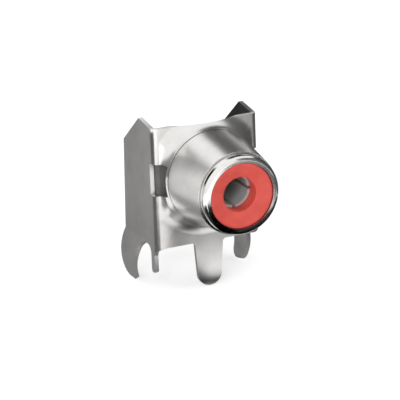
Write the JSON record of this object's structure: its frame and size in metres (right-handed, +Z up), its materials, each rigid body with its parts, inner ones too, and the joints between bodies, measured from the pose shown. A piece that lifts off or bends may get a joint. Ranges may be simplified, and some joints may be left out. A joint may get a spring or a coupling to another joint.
{
  "type": "phono socket",
  "caption": "Right-angle phono socket for a circuit board, with a drawn and folded metal shell, a red insulator round the pin hole, snap-in legs and a signal tail.",
  "frame": {"origin": "middle of the rear moulding's underside, in the plane of the board's top face", "axes": "+Z up from the board, -Y out of the barrel towards the plug, +X to the right seen from the plug"},
  "size_m": [0.0136, 0.017, 0.0183],
  "materials": {
    "shell_metal": "bright nickel plate",
    "red_plastic": "satin moulded",
    "dark_plastic": "moulded",
    "contact_metal": "tin plate"
  },
  "bodies": {
    "root": {"shell": "shell_metal", "insulator": "red_plastic", "rear_moulding": "dark_plastic", "centre_contact": "contact_metal"}
  },
  "joints": []
}
